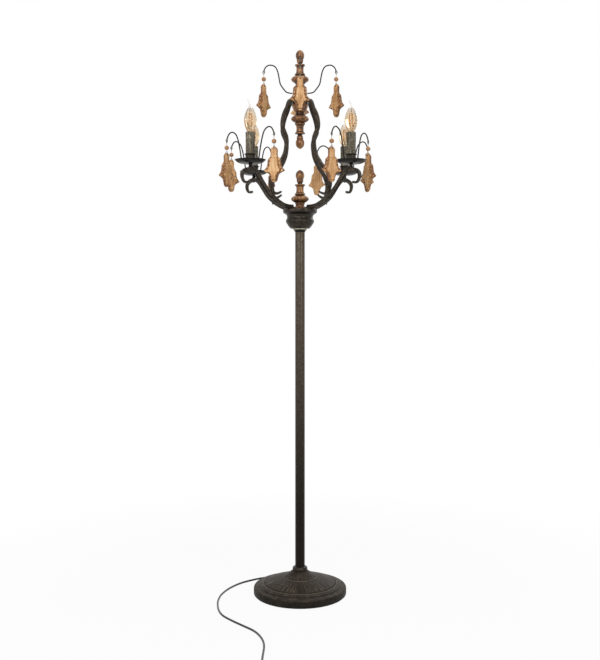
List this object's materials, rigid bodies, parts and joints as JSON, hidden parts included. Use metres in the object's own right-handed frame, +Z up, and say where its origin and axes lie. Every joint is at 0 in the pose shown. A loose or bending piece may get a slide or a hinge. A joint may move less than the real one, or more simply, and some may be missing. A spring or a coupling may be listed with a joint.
{
  "type": "candlestick floor lamp",
  "caption": "Floor lamp with a round cast base, a plain pole and curved arms with candle lights, a wire-hung wooden drop at each bent wire and turned finials in an open cage",
  "frame": {"origin": "centre of the base on the floor plane", "axes": "+Z up along the pole, -Y towards the viewer of the picture, +X to the right; the arms stand between the axes"},
  "size_m": [0.4573, 0.9542, 1.5752],
  "materials": {
    "base_felt": "pressed felt",
    "base_casting": "radially brushed dark bronze-brown paint rubbed through to grey and tan",
    "base_nipple": "zinc-plated thread",
    "base_nut": "zinc plated",
    "cord_bushing": "satin black",
    "foot_collar": "dark bronze-brown paint rubbed through to grey and tan",
    "pole_lower": "dark bronze-brown paint rubbed through to grey and tan",
    "pole_coupler": "zinc plated",
    "pole_upper": "dark bronze-brown paint rubbed through to grey and tan",
    "hub_collar": "dark bronze-brown paint rubbed through to grey and tan",
    "hub_ring": "aged, rubbed bright",
    "hub_bowl": "dark bronze-brown paint rubbed through to grey and tan",
    "hub_plate": "dark bronze-brown paint rubbed through to grey and tan",
    "hub_tube": "zinc-plated thread",
    "hub_nut": "zinc plated",
    "arm_screws": "zinc plated",
    "lower_finial": "turned, dark bronze-gold glaze with a soft shine",
    "lower_arm_fl": "dark bronze-brown paint rubbed through to grey and tan",
    "lower_arm_fr": "dark bronze-brown paint rubbed through to grey and tan",
    "lower_arm_rr": "dark bronze-brown paint rubbed through to grey and tan",
    "lower_arm_rl": "dark bronze-brown paint rubbed through to grey and tan",
    "cage_arm_fl": "dark bronze-brown paint rubbed through to grey and tan",
    "cage_arm_fr": "dark bronze-brown paint rubbed through to grey and tan",
    "cage_arm_rr": "dark bronze-brown paint rubbed through to grey and tan",
    "cage_arm_rl": "dark bronze-brown paint rubbed through to grey and tan",
    "crown_ring": "dark bronze-brown paint rubbed through to grey and tan",
    "crown_collar": "turned, dark bronze-gold glaze with a soft shine",
    "crown_cup": "turned, dark bronze-gold glaze with a soft shine",
    "crown_rod": "zinc-plated thread",
    "upper_finial": "turned, dark bronze-gold glaze with a soft shine",
    "drop_finial": "turned, dark bronze-gold glaze with a soft shine",
    "drip_pans": "dark bronze-brown paint rubbed through to grey and tan",
    "candle_fixings": "dark bronze-brown paint rubbed through to grey and tan",
    "candle_cups": "dark bronze-brown paint rubbed through to grey and tan",
    "candle_sleeves": "mottled khaki-grey wax look",
    "lamp_holders": "black",
    "bulb_fl": "clear amber",
    "bulb_fr": "clear amber",
    "bulb_rr": "clear amber",
    "bulb_rl": "clear amber",
    "lamp_wiring": "insulation",
    "crown_wires": "dark bronze-brown paint rubbed through to grey and tan",
    "pan_wires": "dark bronze-brown paint rubbed through to grey and tan",
    "crown_drop_front": "carved, light brown stain",
    "crown_drop_right": "carved, light brown stain",
    "crown_drop_back": "carved, light brown stain",
    "crown_drop_left": "carved, light brown stain",
    "pan_drop_1": "carved, light brown stain",
    "pan_drop_2": "carved, light brown stain",
    "pan_drop_3": "carved, light brown stain",
    "pan_drop_4": "carved, light brown stain",
    "pan_drop_5": "carved, light brown stain",
    "pan_drop_6": "carved, light brown stain",
    "pan_drop_7": "carved, light brown stain",
    "pan_drop_8": "carved, light brown stain",
    "cord_run": "black, soft",
    "cord_coil": "black, soft",
    "foot_switch": "black, soft",
    "switch_button": "black",
    "plug": "black, soft"
  },
  "bodies": {
    "lamp": {"base_felt": "base_felt", "base_casting": "base_casting", "base_nipple": "base_nipple", "base_nut": "base_nut", "cord_bushing": "cord_bushing", "foot_collar": "foot_collar", "pole_lower": "pole_lower", "pole_coupler": "pole_coupler", "pole_upper": "pole_upper", "hub_collar": "hub_collar", "hub_ring": "hub_ring", "hub_bowl": "hub_bowl", "hub_plate": "hub_plate", "hub_tube": "hub_tube", "hub_nut": "hub_nut", "arm_screws": "arm_screws", "lower_finial": "lower_finial", "lower_arm_fl": "lower_arm_fl", "lower_arm_fr": "lower_arm_fr", "lower_arm_rr": "lower_arm_rr", "lower_arm_rl": "lower_arm_rl", "cage_arm_fl": "cage_arm_fl", "cage_arm_fr": "cage_arm_fr", "cage_arm_rr": "cage_arm_rr", "cage_arm_rl": "cage_arm_rl", "crown_ring": "crown_ring", "crown_collar": "crown_collar", "crown_cup": "crown_cup", "crown_rod": "crown_rod", "upper_finial": "upper_finial", "drop_finial": "drop_finial", "drip_pans": "drip_pans", "candle_fixings": "candle_fixings", "candle_cups": "candle_cups", "candle_sleeves": "candle_sleeves", "lamp_holders": "lamp_holders", "lamp_wiring": "lamp_wiring", "crown_wires": "crown_wires", "pan_wires": "pan_wires", "cord_run": "cord_run", "cord_coil": "cord_coil", "foot_switch": "foot_switch", "plug": "plug"},
    "crown_hanger_front": {"crown_drop_front": "crown_drop_front"},
    "crown_hanger_right": {"crown_drop_right": "crown_drop_right"},
    "crown_hanger_back": {"crown_drop_back": "crown_drop_back"},
    "crown_hanger_left": {"crown_drop_left": "crown_drop_left"},
    "pan_hanger_1": {"pan_drop_1": "pan_drop_1"},
    "pan_hanger_2": {"pan_drop_2": "pan_drop_2"},
    "pan_hanger_3": {"pan_drop_3": "pan_drop_3"},
    "pan_hanger_4": {"pan_drop_4": "pan_drop_4"},
    "pan_hanger_5": {"pan_drop_5": "pan_drop_5"},
    "pan_hanger_6": {"pan_drop_6": "pan_drop_6"},
    "pan_hanger_7": {"pan_drop_7": "pan_drop_7"},
    "pan_hanger_8": {"pan_drop_8": "pan_drop_8"},
    "bulb_fl_body": {"bulb_fl": "bulb_fl"},
    "bulb_fr_body": {"bulb_fr": "bulb_fr"},
    "bulb_rr_body": {"bulb_rr": "bulb_rr"},
    "bulb_rl_body": {"bulb_rl": "bulb_rl"},
    "button": {"switch_button": "switch_button"}
  },
  "joints": [
    {"name": "crown_swing_front", "type": "hinge", "parent": "lamp", "child": "crown_hanger_front", "pos_m": [0, -0.105, 1.50702], "axis": [0, -1, 0], "range_deg": [-30, 30]},
    {"name": "crown_swing_right", "type": "hinge", "parent": "lamp", "child": "crown_hanger_right", "pos_m": [0.105, 0, 1.50702], "axis": [1, 0, 0], "range_deg": [-30, 30]},
    {"name": "crown_swing_back", "type": "hinge", "parent": "lamp", "child": "crown_hanger_back", "pos_m": [0, 0.105, 1.50702], "axis": [0, 1, 0], "range_deg": [-30, 30]},
    {"name": "crown_swing_left", "type": "hinge", "parent": "lamp", "child": "crown_hanger_left", "pos_m": [-0.105, 0, 1.50702], "axis": [-1, 0, 0], "range_deg": [-30, 30]},
    {"name": "pan_swing_1", "type": "hinge", "parent": "lamp", "child": "pan_hanger_1", "pos_m": [-0.20617, -0.07901, 1.29687], "axis": [-0.749, 0.6626, 0], "range_deg": [-30, 30]},
    {"name": "pan_swing_2", "type": "hinge", "parent": "lamp", "child": "pan_hanger_2", "pos_m": [-0.20382, 0.06828, 1.29687], "axis": [-0.6794, -0.7337, 0], "range_deg": [-30, 30]},
    {"name": "pan_swing_3", "type": "hinge", "parent": "lamp", "child": "pan_hanger_3", "pos_m": [-0.0893, 0.21407, 1.29687], "axis": [0.5519, 0.8339, 0], "range_deg": [-30, 30]},
    {"name": "pan_swing_4", "type": "hinge", "parent": "lamp", "child": "pan_hanger_4", "pos_m": [-0.06962, -0.20524, 1.29687], "axis": [0.7193, -0.6947, 0], "range_deg": [-30, 30]},
    {"name": "pan_swing_5", "type": "hinge", "parent": "lamp", "child": "pan_hanger_5", "pos_m": [0.20089, 0.07351, 1.29687], "axis": [0.6921, -0.7218, 0], "range_deg": [-30, 30]},
    {"name": "pan_swing_6", "type": "hinge", "parent": "lamp", "child": "pan_hanger_6", "pos_m": [0.19331, -0.05988, 1.29687], "axis": [0.5664, 0.8241, 0], "range_deg": [-30, 30]},
    {"name": "pan_swing_7", "type": "hinge", "parent": "lamp", "child": "pan_hanger_7", "pos_m": [0.08479, -0.21089, 1.29687], "axis": [-0.6004, -0.7997, 0], "range_deg": [-30, 30]},
    {"name": "pan_swing_8", "type": "hinge", "parent": "lamp", "child": "pan_hanger_8", "pos_m": [0.05244, 0.18038, 1.29687], "axis": [-0.9041, 0.4274, 0], "range_deg": [-30, 30]},
    {"name": "bulb_turn_fl", "type": "hinge", "parent": "lamp", "child": "bulb_fl_body", "pos_m": [-0.13652, -0.14063, 1.3009], "axis": [0, 0, 1], "range_deg": [0, 1260]},
    {"name": "bulb_turn_fr", "type": "hinge", "parent": "lamp", "child": "bulb_fr_body", "pos_m": [0.14063, -0.13652, 1.3009], "axis": [0, 0, 1], "range_deg": [0, 1260]},
    {"name": "bulb_turn_rr", "type": "hinge", "parent": "lamp", "child": "bulb_rr_body", "pos_m": [0.13652, 0.14063, 1.3009], "axis": [0, 0, 1], "range_deg": [0, 1260]},
    {"name": "bulb_turn_rl", "type": "hinge", "parent": "lamp", "child": "bulb_rl_body", "pos_m": [-0.14063, 0.13652, 1.3009], "axis": [0, 0, 1], "range_deg": [0, 1260]},
    {"name": "button_press", "type": "slide", "parent": "lamp", "child": "button", "axis": [0, 0, -1], "range_m": [0, 0.003], "stiffness_N_per_m": 600}
  ]
}
